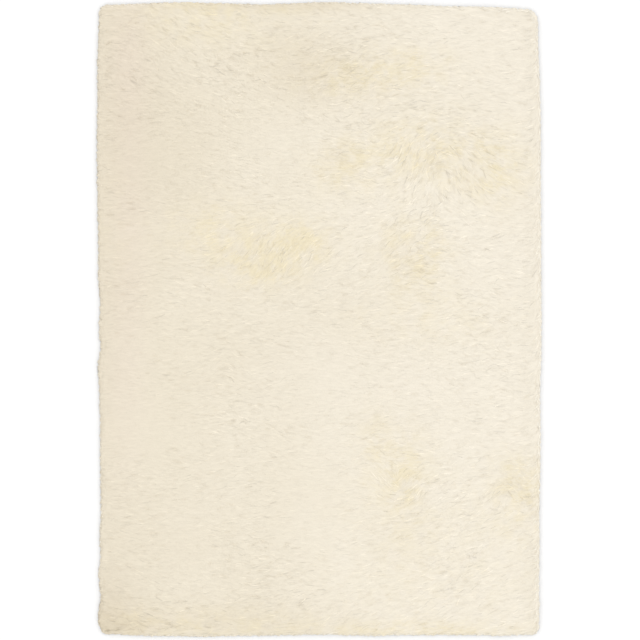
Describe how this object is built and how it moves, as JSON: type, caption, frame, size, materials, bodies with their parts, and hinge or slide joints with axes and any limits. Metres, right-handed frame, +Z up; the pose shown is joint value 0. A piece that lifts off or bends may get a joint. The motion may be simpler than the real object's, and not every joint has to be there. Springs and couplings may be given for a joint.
{
  "type": "shag rug",
  "caption": "Rectangular cream shag rug: a low, lumpy pile on a flat underside, with loose locks all round its rim, for laying on a floor.",
  "frame": {"origin": "on the floor under the middle of the rug's bounding box", "axes": "+X across the rug's width, +Y along its length, +Z up out of the pile"},
  "size_m": [1.6346, 2.33, 0.0334],
  "materials": {
    "pile": "soft matt long-pile yarn, cream, with faint yellower patches",
    "backing": "matt woven backing cloth, unbleached"
  },
  "bodies": {
    "root": {"shag_rug": "pile"}
  },
  "joints": []
}
